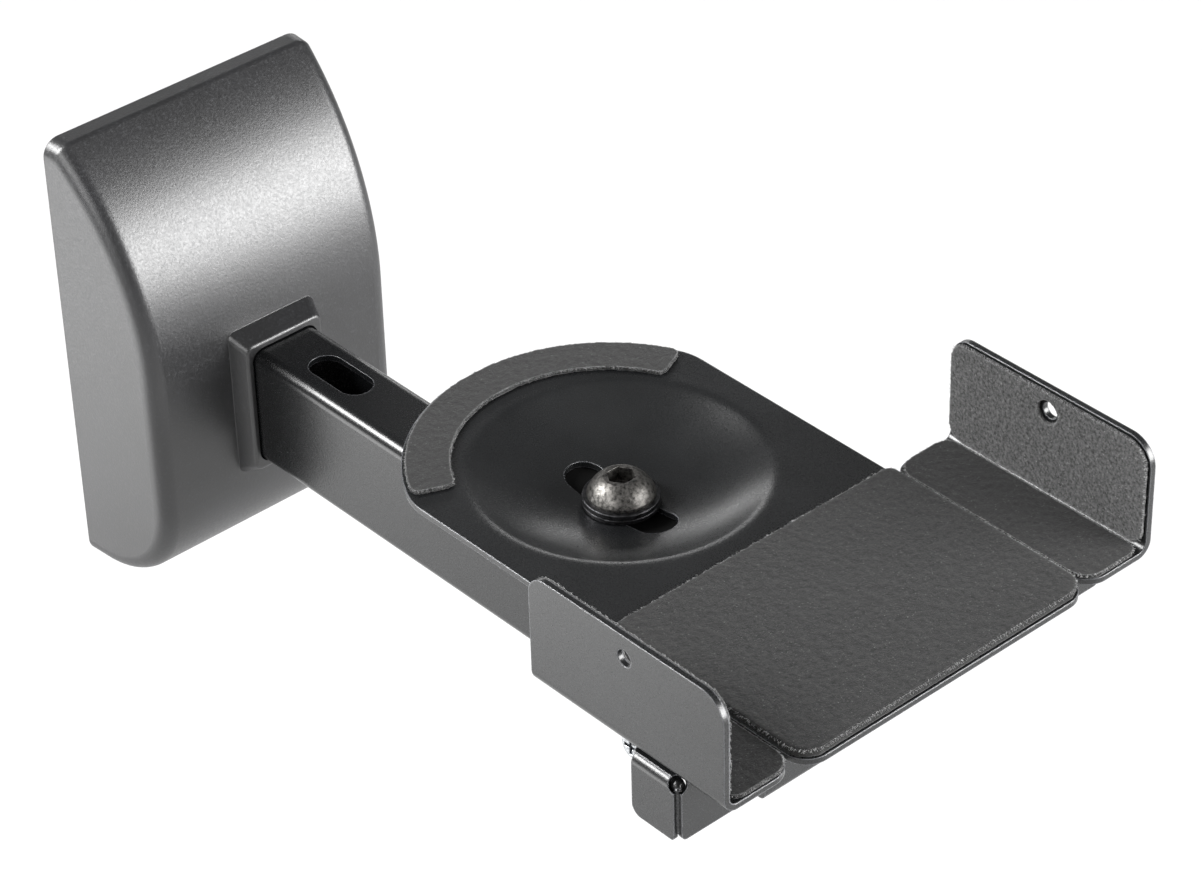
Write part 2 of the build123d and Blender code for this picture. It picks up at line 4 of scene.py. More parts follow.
import bmesh
import bpy
from mathutils import Matrix, Vector, noise


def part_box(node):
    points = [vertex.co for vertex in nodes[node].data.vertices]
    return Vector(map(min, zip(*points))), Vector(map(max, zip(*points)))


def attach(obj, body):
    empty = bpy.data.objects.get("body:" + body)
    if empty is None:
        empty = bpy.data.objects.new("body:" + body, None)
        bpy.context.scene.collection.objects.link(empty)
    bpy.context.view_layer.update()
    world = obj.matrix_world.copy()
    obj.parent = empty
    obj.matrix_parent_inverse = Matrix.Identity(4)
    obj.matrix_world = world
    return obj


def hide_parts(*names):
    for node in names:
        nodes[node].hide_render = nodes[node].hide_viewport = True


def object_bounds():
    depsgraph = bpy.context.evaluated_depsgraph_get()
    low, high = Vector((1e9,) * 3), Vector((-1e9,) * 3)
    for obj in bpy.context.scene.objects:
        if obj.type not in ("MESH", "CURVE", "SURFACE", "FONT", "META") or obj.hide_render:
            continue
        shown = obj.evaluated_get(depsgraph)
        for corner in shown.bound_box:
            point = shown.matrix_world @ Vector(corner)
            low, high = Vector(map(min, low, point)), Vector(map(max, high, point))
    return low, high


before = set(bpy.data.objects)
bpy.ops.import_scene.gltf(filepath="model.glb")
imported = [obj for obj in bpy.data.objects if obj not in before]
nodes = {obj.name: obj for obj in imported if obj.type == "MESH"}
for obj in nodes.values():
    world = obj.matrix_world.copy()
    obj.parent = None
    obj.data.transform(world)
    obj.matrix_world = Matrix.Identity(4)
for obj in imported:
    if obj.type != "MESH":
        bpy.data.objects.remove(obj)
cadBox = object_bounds()
print("frame loaded,", len(nodes), "nodes")


# Small helpers

sides = (("left", -1), ("right", 1))
noiseSpan = (0.3, 0.7)  # where most of a noise texture's values lie
tinyGap = 0.000001      # two points nearer than this count as one


def toLinear(hexText):
    parts = [int(hexText[i:i + 2], 16) / 255 for i in (1, 3, 5)]
    lin = [p / 12.92 if p <= 0.04045 else ((p + 0.055) / 1.055) ** 2.4 for p in parts]
    return (*lin, 1.0)


def metres(mm):
    return mm / 1000


def perMm(mm):
    return 1000.0 / mm  # texture scale on coordinates in metres, for a feature of this size


def addObject(name, data):
    obj = bpy.data.objects.new(name, data)
    bpy.context.scene.collection.objects.link(obj)
    return obj


def addNode(tree, kind, settings={}, inputs={}):
    node = tree.nodes.new(kind)
    for key, value in settings.items():
        setattr(node, key, value)
    for socket, value in inputs.items():
        if isinstance(value, bpy.types.NodeSocket):
            tree.links.new(value, node.inputs[socket])
        else:
            node.inputs[socket].default_value = value
    return node


# Each of these adds one node and gives back the socket that is used of it

def objectPlace(tree):
    return addNode(tree, "ShaderNodeTexCoord").outputs["Object"]


def noiseFac(tree, place, mm, inputs):
    return addNode(tree, "ShaderNodeTexNoise", inputs={
        "Vector": place, "Scale": perMm(mm), **inputs}).outputs["Fac"]


def cellDistance(tree, place, mm):
    return addNode(tree, "ShaderNodeTexVoronoi", {"feature": "F1"}, {
        "Vector": place, "Scale": perMm(mm)}).outputs["Distance"]


def ramp(tree, value, span, to=(0.0, 1.0), settings={}):
    return addNode(tree, "ShaderNodeMapRange", settings, {
        "Value": value, "From Min": span[0], "From Max": span[1],
        "To Min": to[0], "To Max": to[1]}).outputs[0]


def mixColours(tree, share, one, two):
    return addNode(tree, "ShaderNodeMix", {"data_type": "RGBA"}, {
        0: share, 6: one, 7: two}).outputs[2]


def calc(tree, operation, *terms):
    return addNode(tree, "ShaderNodeMath", {"operation": operation},
                   dict(enumerate(terms))).outputs[0]


def vectorCalc(tree, operation, *terms):
    node = addNode(tree, "ShaderNodeVectorMath", {"operation": operation}, dict(enumerate(terms)))
    return node.outputs["Value" if operation in ("LENGTH", "DOT_PRODUCT") else "Vector"]


def roundedNormal(tree, radius):
    return addNode(tree, "ShaderNodeBevel", {"samples": 6}, {"Radius": radius}).outputs["Normal"]


def edgeTurn(tree, normal):
    # Cosine between the rounded and the flat normal, below one only beside an edge
    flat = addNode(tree, "ShaderNodeNewGeometry").outputs["True Normal"]
    return vectorCalc(tree, "DOT_PRODUCT", normal, flat)


def bumped(tree, height, bump, normal=None):
    inputs = {"Strength": bump["strength"], "Distance": metres(bump["mm"]), "Height": height}
    if normal is not None:
        inputs["Normal"] = normal
    return addNode(tree, "ShaderNodeBump", inputs=inputs).outputs["Normal"]


def newMaterial(name):
    mat = bpy.data.materials.new(name)
    mat.use_nodes = True
    mat.node_tree.nodes.clear()
    return mat, mat.node_tree


def addSurface(tree, inputs):
    shader = addNode(tree, "ShaderNodeBsdfPrincipled", inputs=inputs)
    addNode(tree, "ShaderNodeOutputMaterial", inputs={"Surface": shader.outputs["BSDF"]})


def roughFrom(tree, fac, values):
    around = [values["roughness"] + change for change in values["roughSpread"]]
    return ramp(tree, fac, noiseSpan, around)


def dress(names, mat):
    for name in names:
        obj = nodes[name]
        obj.data.materials.clear()
        obj.data.materials.append(mat)


# Camera, solved from the parallel edges of the bracket

cameraPlace = {
    "eye": (-0.6501, -0.9544, 0.7517),
    "heading": 41.07,  # degrees to the right of +Y
    "pitch": 35.41,    # degrees down
    "roll": 1.56,
    "lens": 120.93,
    "sensor": 36,
    "reach": 50,
}
camData = bpy.data.cameras.new("bracketCamera")
camData.sensor_width = cameraPlace["sensor"]
camData.lens = cameraPlace["lens"]
camData.clip_end = cameraPlace["reach"]
camera = addObject("bracketCamera", camData)
camera.matrix_world = (
    Matrix.Translation(cameraPlace["eye"])
    @ Matrix.Rotation(math.radians(-cameraPlace["heading"]), 4, "Z")
    @ Matrix.Rotation(math.radians(90 - cameraPlace["pitch"]), 4, "X")
    @ Matrix.Rotation(math.radians(-cameraPlace["roll"]), 4, "Z")
)
bpy.context.scene.camera = camera
bpy.context.scene.view_settings.view_transform = "Standard"
print("camera placed")


# Powder coated steel: electrostatic polyester powder, baked. It gives a satin skin with
# a faint orange peel, soft arrises that catch the light, and a little dust in the film.

powderCoat = {
    "colour": "#101112",
    "dust": "#191a1b",
    "dustSpan": (0.4, 0.72),
    "edgeHighlightColour": "#85868a",     # painted highlight: sharp edges are paler, standing in for the light they catch
    "edgeHighlightSpan": (0.96, 0.78),  # cosines of the edge's turn
    "edgeHighlightShare": 0.85,
    "roughness": 0.29,
    "roughSpread": (-0.05, 0.06),
    "peelMm": 1.3,
    "peelBump": {"strength": 0.10, "mm": 0.18},
    "grainMm": 0.45,
    "grainBump": {"strength": 0.08, "mm": 0.03},
    "cloudMm": 38,
    "edgeMm": 0.7,
    "specular": 0.62,
}

# The tube's coat lies thinner over sharper corners, and is a little glossier
tubeCoat = {
    **powderCoat,
    "colour": "#0b0c0d",
    "dust": "#111213",
    "roughness": 0.25,
    "edgeMm": 0.4,
}

# The bowl's coat is painted darker and duller, standing in for the shade it lies in under the
# tray's slot
bowlCoatPaintedShade = {
    **powderCoat,
    "colour": "#050505",
    "dust": "#080808",
    "roughness": 0.6,
    "specular": 0.15,
}

# The dish's pressed rim is drawn over its die, which rounds it more softly than a cut edge
trayCoat = {
    **powderCoat,
    "softRing": {
        "centre": (0, -0.2168, 0),
        "radius": 0.0466,
        "width": 0.008,
        "fullShare": 0.45,
        "edgeMm": 3.6,
    },
}


def ringEdge(tree, place, edge, ring):
    fromMiddle = vectorCalc(tree, "SUBTRACT", place, ring["centre"])
    inPlane = vectorCalc(tree, "MULTIPLY", fromMiddle, (1, 1, 0))
    reach = vectorCalc(tree, "LENGTH", inPlane)
    fromRing = calc(tree, "ABSOLUTE", calc(tree, "SUBTRACT", reach, ring["radius"]))
    span = (ring["width"], ring["width"] * ring["fullShare"])
    return ramp(tree, fromRing, span, (edge, metres(ring["edgeMm"])),
                {"interpolation_type": "SMOOTHSTEP"})


def powderCoatMaterial(name, values):
    mat, tree = newMaterial(name)
    place = objectPlace(tree)
    peel = noiseFac(tree, place, values["peelMm"], {"Detail": 2.0, "Roughness": 0.45})
    grain = noiseFac(tree, place, values["grainMm"], {"Detail": 3.0})
    cloud = noiseFac(tree, place, values["cloudMm"], {"Detail": 5.0, "Roughness": 0.6})
    body = mixColours(tree, ramp(tree, cloud, values["dustSpan"]),
                      toLinear(values["colour"]), toLinear(values["dust"]))
    edge = metres(values["edgeMm"])
    if "softRing" in values:
        edge = ringEdge(tree, place, edge, values["softRing"])
    rounded = roundedNormal(tree, edge)
    # Painted highlight: the colour pales along the rounded edges, standing in for the light the
    # arrises catch
    paintedHighlight = ramp(tree, edgeTurn(tree, rounded), values["edgeHighlightSpan"], (0.0, values["edgeHighlightShare"]))
    grainNormal = bumped(tree, grain, values["grainBump"], rounded)
    addSurface(tree, {
        "Base Color": mixColours(tree, paintedHighlight, body, toLinear(values["edgeHighlightColour"])),
        "Roughness": roughFrom(tree, grain, values),
        "Specular IOR Level": values["specular"],
        "Normal": bumped(tree, peel, values["peelBump"], grainNormal),
    })
    return mat


tubeFinish = powderCoatMaterial("powderCoatedTube", tubeCoat)
sheetFinish = powderCoatMaterial("powderCoatedSheet", powderCoat)
bowlFinishPaintedShade = powderCoatMaterial("powderCoatPaintedShade", bowlCoatPaintedShade)
trayFinish = powderCoatMaterial("powderCoatedPressing", trayCoat)
dress(["arm_tube", "seat_spacer"], tubeFinish)
dress(["seat_bowl"], bowlFinishPaintedShade)
dress(["tray"], trayFinish)
dress(["rail", "wall_plate", "left_clamp", "right_clamp"], sheetFinish)
print("powder coated steel dressed")


# Moulded ABS: injected against a spark-eroded tool. It gives a fine leathery grain that
# spreads the highlights, and paler specks on the grain's crests.

mouldedAbs = {
    "colour": "#161617",
    "paler": "#1c1c1e",
    "paleSpan": (0.35, 0.7),
    "speck": "#36383b",
    "speckSpan": (0.56, 0.70),
    "speckShare": 0.45,
    "roughness": 0.37,
    "roughSpread": (-0.06, 0.08),
    "grainMm": 0.9,
    "grainBump": {"strength": 0.35, "mm": 0.15},
    "pitMm": 0.4,
    "pitBump": {"strength": 0.2, "mm": 0.06},
    "cloudMm": 30,
    "edgeMm": 0.35,
    "specular": 0.8,
}

# The end cap is moulded of a plainer, slightly rougher grade
capPlastic = {
    **mouldedAbs,
    "colour": "#17181a",
    "paler": "#1e1f21",
    "grainMm": 0.6,
    "roughness": 0.4,
}


def mouldedMaterial(name, values):
    mat, tree = newMaterial(name)
    place = objectPlace(tree)
    grain = noiseFac(tree, place, values["grainMm"], {"Detail": 4.0, "Roughness": 0.6})
    pits = cellDistance(tree, place, values["pitMm"])
    cloud = noiseFac(tree, place, values["cloudMm"], {"Detail": 3.0})
    body = mixColours(tree, ramp(tree, cloud, values["paleSpan"]),
                      toLinear(values["colour"]), toLinear(values["paler"]))
    speck = ramp(tree, grain, values["speckSpan"], (0.0, values["speckShare"]))
    rounded = roundedNormal(tree, metres(values["edgeMm"]))
    pitNormal = bumped(tree, pits, values["pitBump"], rounded)
    addSurface(tree, {
        "Base Color": mixColours(tree, speck, body, toLinear(values["speck"])),
        "Roughness": roughFrom(tree, grain, values),
        "Specular IOR Level": values["specular"],
        "Normal": bumped(tree, grain, values["grainBump"], pitNormal),
    })
    return mat


dress(["wall_cover"], mouldedMaterial("mouldedAbsCover", mouldedAbs))
dress(["arm_end_cap"], mouldedMaterial("mouldedCap", capPlastic))
print("moulded plastics dressed")


# Steel fasteners: phosphated, turned and zinc plated steel. The plating's crystals and
# the lathe's rings break the reflections up.

fastenerSteel = {
    "bolt": {
        "colour": "#716f6c", "stain": "#343332", "roughness": 0.40, "spotMm": 1.1, "ringMm": 0.5},
    "washer": {
        "colour": "#4c4c4e", "stain": "#2a2a2b", "roughness": 0.36, "spotMm": 1.6, "ringMm": 0.45},
    "zinc": {
        "colour": "#c4c6c8", "stain": "#9a9da0", "roughness": 0.26, "spotMm": 0.9, "ringMm": 0.3},
}
steelSkin = {
    "stainSpan": (0.42, 0.64),
    "crystalShare": 0.5,     # of a spot's size
    "crystalSpan": (0.0, 0.8),
    "roughSpread": (-0.08, 0.12),
    "ringStretch": 20,       # the wave texture multiplies its scale by this
    "ringBump": {"strength": 0.15, "mm": 0.04},
    "spotBump": {"strength": 0.3, "mm": 0.08},
    "edgeMm": 0.35,
}
turningAxes = {
    "pivot": ((0, -0.2168, 0), "Z"),
    "clampScrews": ((0, -0.303, 0.027), "X"),
}


def steelMaterial(name, values, turning):
    centre, axis = turning
    mat, tree = newMaterial(name)
    place = objectPlace(tree)
    spots = noiseFac(tree, place, values["spotMm"], {"Detail": 5.0, "Roughness": 0.65})
    crystals = cellDistance(tree, place, values["spotMm"] * steelSkin["crystalShare"])
    colour = mixColours(tree, ramp(tree, spots, steelSkin["stainSpan"]),
                        toLinear(values["colour"]), toLinear(values["stain"]))
    rings = addNode(tree, "ShaderNodeTexWave", {
        "wave_type": "RINGS", "rings_direction": axis, "wave_profile": "TRI"}, {
        "Vector": vectorCalc(tree, "SUBTRACT", place, centre),
        "Scale": perMm(values["ringMm"]) / steelSkin["ringStretch"],
        "Distortion": 0.4, "Detail": 1.0}).outputs["Fac"]
    around = [values["roughness"] + change for change in steelSkin["roughSpread"]]
    rounded = roundedNormal(tree, metres(steelSkin["edgeMm"]))
    ringNormal = bumped(tree, rings, steelSkin["ringBump"], rounded)
    addSurface(tree, {
        "Base Color": colour,
        "Metallic": 1.0,
        "Roughness": ramp(tree, crystals, steelSkin["crystalSpan"], around),
        "Normal": bumped(tree, spots, steelSkin["spotBump"], ringNormal),
    })
    return mat


boltSteel = steelMaterial("phosphatedBolt", fastenerSteel["bolt"], turningAxes["pivot"])
washerSteel = steelMaterial("darkPlatedWasher", fastenerSteel["washer"], turningAxes["pivot"])
zincSteel = steelMaterial("zincPlatedSteel", fastenerSteel["zinc"], turningAxes["pivot"])
screwZinc = steelMaterial("zincPlatedScrew", fastenerSteel["zinc"], turningAxes["clampScrews"])
dress(["pivot_bolt"], boltSteel)
dress(["flat_washer", "curved_washer"], washerSteel)
dress(["nut_washer", "lock_nut", "crush_sleeve"], zincSteel)
dress(["left_clamp_nut", "right_clamp_nut"], screwZinc)
print("fasteners dressed")


# Pads: die-cut felted foam rubber with a self-adhesive back. It gives a matt, speckled
# face, and cut edges that the die tears open, so that they are paler and fuzzy.

padFoam = {
    "colour": "#191919",
    "paler": "#282828",
    "paleSpan": (0.35, 0.65),
    "speck": "#8a8a8a",
    "speckMm": 1.1,
    "speckSpan": (0.24, 0.14),     # distances from a speck's middle, in specks
    "speckPick": (0.5, 0.62),      # only some of the specks are pale
    "speckShare": 0.35,
    "edge": "#8a8a8a",
    "edgeMm": 1.0,
    "edgeSpan": (0.97, 0.80),      # cosines of the edge's turn
    "tornSpan": (0.38, 0.62),
    "tornLeast": 0.25,
    "roughness": 0.92,
    "specular": 0.25,
    "sheen": 0.12,
    "sheenRoughness": 0.5,
    "feltMm": 1.4,
    "feltBump": {"strength": 0.5, "mm": 0.4},
    "fibreMm": 0.5,
    "fibreBump": {"strength": 0.6, "mm": 0.25},
}

# The clamps' upright pads are painted paler, standing in for the stronger light and sheen on their
# sideways faces
uprightFoamPaintedLight = {
    **padFoam,
    "colour": "#1e1e1e",
    "paler": "#5e5e5e",
    "speck": "#a0a0a0",
    "speckMm": 0.9,
    "speckShare": 0.75,
    "feltMm": 1.0,
}


def foamMaterial(name, values):
    mat, tree = newMaterial(name)
    place = objectPlace(tree)
    felt = noiseFac(tree, place, values["feltMm"], {"Detail": 6.0, "Roughness": 0.7})
    fibre = noiseFac(tree, place, values["fibreMm"], {"Detail": 3.0, "Distortion": 1.5})
    specks = cellDistance(tree, place, values["speckMm"])
    body = mixColours(tree, ramp(tree, felt, values["paleSpan"]),
                      toLinear(values["colour"]), toLinear(values["paler"]))
    speck = calc(tree, "MULTIPLY", ramp(tree, specks, values["speckSpan"]),
                 ramp(tree, fibre, values["speckPick"], (0.0, values["speckShare"])))
    speckled = mixColours(tree, speck, body, toLinear(values["speck"]))
    rounded = roundedNormal(tree, metres(values["edgeMm"]))
    cut = calc(tree, "MULTIPLY", ramp(tree, edgeTurn(tree, rounded), values["edgeSpan"]),
               ramp(tree, fibre, values["tornSpan"], (values["tornLeast"], 1.0)))
    fibreNormal = bumped(tree, fibre, values["fibreBump"])
    addSurface(tree, {
        "Base Color": mixColours(tree, cut, speckled, toLinear(values["edge"])),
        "Roughness": values["roughness"],
        "Specular IOR Level": values["specular"],
        "Sheen Weight": values["sheen"],
        "Sheen Roughness": values["sheenRoughness"],
        "Normal": bumped(tree, felt, values["feltBump"], fibreNormal),
    })
    return mat


foam = foamMaterial("dieCutFoamRubber", padFoam)
uprightFoamLitMaterial = foamMaterial("foamRubberPaintedLight", uprightFoamPaintedLight)
fibreLook = foamMaterial("looseFeltFibre", {**padFoam, "colour": "#8c8c8c", "paler": "#c0c0c0"})

padShapes = {
    "front": (0.003, 0.003, 0.0075, 0.0075),
    "arcCentre": -0.209,
    "arcInner": 0.046,
    "arcOuter": 0.060,
    "arcStart": 24,
    "arcCorner": 0.0028,
    "flange": (0.0055, 0.008, 0.006, 0.006),
    "flangeHole": 0.00375,
    "flangeHolePlace": (-0.3129, 0.0701),
    "foot": 0.007,
    "footOuter": 0.005,
    "bend": 0.003,           # inner radius of the clamp's fold
    "flangeWrap": 0.0024,    # how far each pad runs into the fold
    "footWrap": 0.0016,
}
padFace = {
    "voxelMm": 0.62,
    "soften": 0.5,
    "softenTimes": 2,
    "lumpMm": 2.2,
    "fineLumpMm": 0.9,
    "fineShare": 0.6,
    "sink": 0.9,             # lumps only sink the face, which stays inside its solid
    "unevenMm": 0.10,
    "flatShare": 0.6,        # of the thickness, below which the unevenness fades out
    "gapMm": 0.01,           # left free under the solid's face
}
fibreShape = {
    "front": {"count": 2400, "width": 0.00005},
    "arc": {"count": 1400, "width": 0.00003},
    "flange": {"count": 900, "width": 0.00008},
    "foot": {"count": 800, "width": 0.00008},
    "root": (0.0001, 0.0007),    # how far inside the cut edge a fibre starts
    "height": (0.55, 0.93),      # share of the pad's thickness
    "reach": (0.0004, 0.0009),
    "swing": (-0.9, 0.9),        # to the sides, along the edge
    "rise": (-0.3, 0.1),
    "droop": 0.4,
    "taper": (1.0, 0.8, 0.3),
    "ridge": 1.6,                # height of its section, in half widths
}


# Outlines are lists of U, V points

def cornerPoints(middle, radius, start, steps=8):
    turn = [start + math.pi / 2 * i / steps for i in range(steps + 1)]
    return [(middle[0] + radius * math.cos(t), middle[1] + radius * math.sin(t)) for t in turn]


def roundedOutline(lowU, lowV, highU, highV, radii):
    # radii go round from the high U, high V corner to the left
    outline = cornerPoints((highU - radii[0], highV - radii[0]), radii[0], 0)
    outline += cornerPoints((lowU + radii[1], highV - radii[1]), radii[1], math.pi / 2)
    outline += cornerPoints((lowU + radii[2], lowV + radii[2]), radii[2], math.pi)
    outline += cornerPoints((highU - radii[3], lowV + radii[3]), radii[3], 1.5 * math.pi)
    return outline


def circleOutline(centre, radius, steps=28):
    turn = [2 * math.pi * i / steps for i in range(steps)]
    return [(centre[0] + radius * math.cos(t), centre[1] + radius * math.sin(t)) for t in turn]


def arcOutline(shape, steps=48):
    # A band round the dish whose four corners are rounded
    start = math.radians(shape["arcStart"])
    bend = shape["arcCorner"]

    def polar(radius, turn):
        return Vector((radius * math.cos(turn), shape["arcCentre"] + radius * math.sin(turn)))

    outline = []
    for radius, inset, first, last, quarter in (
            (shape["arcOuter"], -bend, start, math.pi - start, 0),
            (shape["arcInner"], bend, math.pi - start, start, 2)):
        way = 1 if last > first else -1
        trim = way * bend / (radius + inset)
        for end, turn in ((0, first + trim), (1, last - trim)):
            if end == 1:
                sweep = last - first - 2 * trim
                span = [first + trim + sweep * i / steps for i in range(1, steps)]
                outline += [tuple(polar(radius, t)) for t in span]
            begin = turn + (quarter + end - 1) * math.pi / 2
            outline += cornerPoints(polar(radius + inset, turn), bend, begin)
    return outline


def foldOver(point, fold):
    # The foam follows the clamp's inner bend beyond the line where the bend starts
    if fold is None:
        return point
    beyond = fold["sign"] * (point[fold["axis"]] - fold["start"])
    if beyond <= 0:
        return point
    turn = beyond / fold["radius"]
    arm = fold["radius"] - point.z
    folded = point.copy()
    folded[fold["axis"]] = fold["start"] + fold["sign"] * arm * math.sin(turn)
    folded.z = fold["radius"] - arm * math.cos(turn)
    return folded


def flatPad(name, outlines, thickness):
    bm = bmesh.new()
    edges = []
    for outline in outlines:
        ring = [bm.verts.new((u, v, 0)) for u, v in outline]
        edges += [bm.edges.new((ring[i - 1], ring[i])) for i in range(len(ring))]
    filled = bmesh.ops.triangle_fill(bm, use_beauty=True, edges=edges)
    faces = [f for f in filled["geom"] if isinstance(f, bmesh.types.BMFace)]
    grown = bmesh.ops.extrude_face_region(bm, geom=faces)
    lifted = [v for v in grown["geom"] if isinstance(v, bmesh.types.BMVert)]
    bmesh.ops.translate(bm, verts=lifted, vec=(0, 0, thickness))
    bmesh.ops.recalc_face_normals(bm, faces=bm.faces)
    mesh = bpy.data.meshes.new(name)
    bm.to_mesh(mesh)
    bm.free()
    return mesh


def unevenPoints(mesh, thickness, seed):
    # The face is a little uneven, and the back stays flat on what carries it
    offset = Vector((seed * 3.1, seed * 1.7, 0))
    coarse, fine = perMm(padFace["lumpMm"]), perMm(padFace["fineLumpMm"])
    uneven = metres(padFace["unevenMm"])
    points = []
    for v in mesh.vertices:
        point = v.co.copy()
        lift = min(1.0, max(0.0, point.z / (padFace["flatShare"] * thickness)))
        lump = noise.noise(point * coarse + offset)
        lump += padFace["fineShare"] * noise.noise(point * fine + offset)
        points.append(point + v.normal * (lump - padFace["sink"]) * uneven * lift)
    stretch = (thickness - metres(padFace["gapMm"])) / max(point.z for point in points)
    for point in points:
        point.z *= stretch
    return points


def makePad(name, kind, outlines, place, thickness, nodeName, body, seed, fold):
    pad = addObject(name, flatPad(name, outlines, thickness))
    remesh = pad.modifiers.new("cells", "REMESH")
    remesh.mode = "VOXEL"
    remesh.voxel_size = min(metres(padFace["voxelMm"]), thickness / 3)
    soften = pad.modifiers.new("soften", "SMOOTH")
    soften.factor = padFace["soften"]
    soften.iterations = padFace["softenTimes"]
    ready = pad.evaluated_get(bpy.context.evaluated_depsgraph_get())
    shaped = bpy.data.meshes.new_from_object(ready)
    pad.modifiers.clear()
    pad.data = shaped
    for v, point in zip(shaped.vertices, unevenPoints(shaped, thickness, seed)):
        v.co = foldOver(point, fold)
    shaped.transform(place)
    for p in shaped.polygons:
        p.use_smooth = True
    # The upright pads take the foam painted paler for the light on their sideways faces
    shaped.materials.append(uprightFoamLitMaterial if kind == "flange" else foam)
    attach(pad, body)
    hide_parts(nodeName)


def pointAlong(outline, along):
    for i in range(len(outline)):
        step = math.dist(outline[i - 1], outline[i])
        if along <= step:
            break
        along -= step
    start = Vector(outline[i - 1])
    run = (Vector(outline[i]) - start).normalized()
    return start + run * along, run


def makeFibres(name, kind, outline, place, thickness, body, seed, fold):
    pick = random.Random(seed)
    width = fibreShape[kind]["width"]
    total = sum(math.dist(outline[i - 1], outline[i]) for i in range(len(outline)))
    verts = []
    faces = []
    for _ in range(fibreShape[kind]["count"]):
        edge, run = pointAlong(outline, pick.random() * total)
        out = Vector((run.y, -run.x))
        root = edge - out * pick.uniform(*fibreShape["root"])
        height = thickness * pick.uniform(*fibreShape["height"])
        reach = pick.uniform(*fibreShape["reach"])
        swing = pick.uniform(*fibreShape["swing"])
        rise = pick.uniform(*fibreShape["rise"])
        lean = Vector((out.x + run.x * swing, out.y + run.y * swing, rise))
        start = Vector((root.x, root.y, height))
        middle = start + lean.normalized() * reach * 0.5
        hang = lean.normalized() + Vector((0, 0, -fibreShape["droop"]))
        end = middle + hang.normalized() * reach * 0.5
        across = lean.cross(Vector((0, 0, 1))).normalized() * width
        base = len(verts)
        for point, share in zip((start, middle, end), fibreShape["taper"]):
            ridge = Vector((0, 0, width * share * fibreShape["ridge"]))
            verts += [point - across * share, point + across * share, point + ridge]
        for k in (0, 3):
            for j in range(3):
                p, q = base + k + j, base + k + (j + 1) % 3
                faces.append((p, q, q + 3, p + 3))
    mesh = bpy.data.meshes.new(name)
    mesh.from_pydata([place @ foldOver(v, fold) for v in verts], [], faces)
    fibres = addObject(name, mesh)
    mesh.materials.append(fibreLook)
    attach(fibres, body)


def padWithFibres(stem, kind, outlines, place, thickness, nodeName, body, seeds, fold=None):
    padSeed, fibreSeed = seeds
    makePad(stem + "Foam", kind, outlines, place, thickness, nodeName, body, padSeed, fold)
    makeFibres(stem + "Fibres", kind, outlines[0], place, thickness, body, fibreSeed, fold)


def trayPads():
    low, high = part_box("front_pad")
    outline = roundedOutline(low.x, low.y, high.x, high.y, padShapes["front"])
    onTray = Matrix.Translation((0, 0, low.z))
    thickness = high.z - low.z
    padWithFibres("frontPad", "front", [outline], onTray, thickness, "front_pad", "tray", (1, 11))

    low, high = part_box("arc_pad")
    onTray = Matrix.Translation((0, 0, low.z))
    thickness = high.z - low.z
    padWithFibres("arcPad", "arc", [arcOutline(padShapes)], onTray, thickness,
                  "arc_pad", "tray", (2, 12))


def clampPads(side, sign):
    body = side + "_clamp"
    low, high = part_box(side + "_flange_pad")
    wall = high.x if sign > 0 else low.x
    upright = Matrix((  # U runs along Y and V up, and the foam grows towards the middle
        (0, 0, -sign, wall),
        (1, 0, 0, 0),
        (0, 1, 0, 0),
        (0, 0, 0, 1),
    ))
    outline = roundedOutline(
        low.y, low.z - padShapes["flangeWrap"], high.y, high.z, padShapes["flange"])
    hole = circleOutline(padShapes["flangeHolePlace"], padShapes["flangeHole"])
    fold = {"axis": 1, "sign": -1, "start": low.z, "radius": padShapes["bend"]}
    padWithFibres(side + "FlangePad", "flange", [outline, hole], upright, high.x - low.x,
                  side + "_flange_pad", body, (3 + sign, 21 + sign), fold)

    low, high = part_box(side + "_foot_pad")
    start = high.x if sign > 0 else low.x
    fold = {"axis": 0, "sign": sign, "start": start, "radius": padShapes["bend"]}
    foot, outer = padShapes["foot"], padShapes["footOuter"]
    if sign > 0:
        radii, lowX, highX = (outer, foot, foot, outer), low.x, high.x + padShapes["footWrap"]
    else:
        radii, lowX, highX = (foot, outer, outer, foot), low.x - padShapes["footWrap"], high.x
    outline = roundedOutline(lowX, low.y, highX, high.y, radii)
    onFoot = Matrix.Translation((0, 0, low.z))
    padWithFibres(side + "FootPad", "foot", [outline], onFoot, high.z - low.z,
                  side + "_foot_pad", body, (7 + sign, 31 + sign), fold)


trayPads()
for side, sign in sides:
    clampPads(side, sign)
print("pads made")


# Sliders: the rear leg stops short of the end tab, so that the screw can be reached, and a
# weld inside the corner closes the gap between the front leg and the tab

sliderEnd = {
    "legFront": -0.3126,     # the rear leg lies between these two lines
    "legRear": -0.3100,
    "legFrom": 0.0775,
    "legTrim": 0.0065,
    "legTop": 0.0365,
    "legFade": 0.002,
}
cornerWeld = {
    "place": (0.08395, -0.33235),
    "radius": 0.00095,
    "low": 0.0192,
    "high": 0.0354,
    "around": 14,
    "rows": 60,
    "blunt": 16,             # the higher, the blunter the bead's two ends
    "rippleMm": 1.2,
    "rippleShare": 0.10,
    "lumpMm": 1.5,
    "lumpShare": 0.16,
    "blobPlace": (0.0825, -0.3308, 0.0350),
    "blobRadius": 0.0021,
    "blobLumpMm": 1.6,
    "blobLumpShare": 0.14,
}


def trimmedSlider(side, sign):
    source = nodes[side + "_slider"].data
    normals = [tuple(n.vector) for n in source.corner_normals]
    mesh = source.copy()
    for v in mesh.vertices:
        x, y, z = v.co
        if sliderEnd["legFront"] < y < sliderEnd["legRear"] and sign * x > sliderEnd["legFrom"]:
            fade = min(1.0, max(0.0, (sliderEnd["legTop"] - z) / sliderEnd["legFade"]))
            v.co.x -= sign * sliderEnd["legTrim"] * fade
    mesh.normals_split_custom_set(normals)
    slider = addObject(side + "SliderFolded", mesh)
    mesh.materials.clear()
    mesh.materials.append(sheetFinish)
    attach(slider, side + "_clamp")
    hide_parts(side + "_slider")


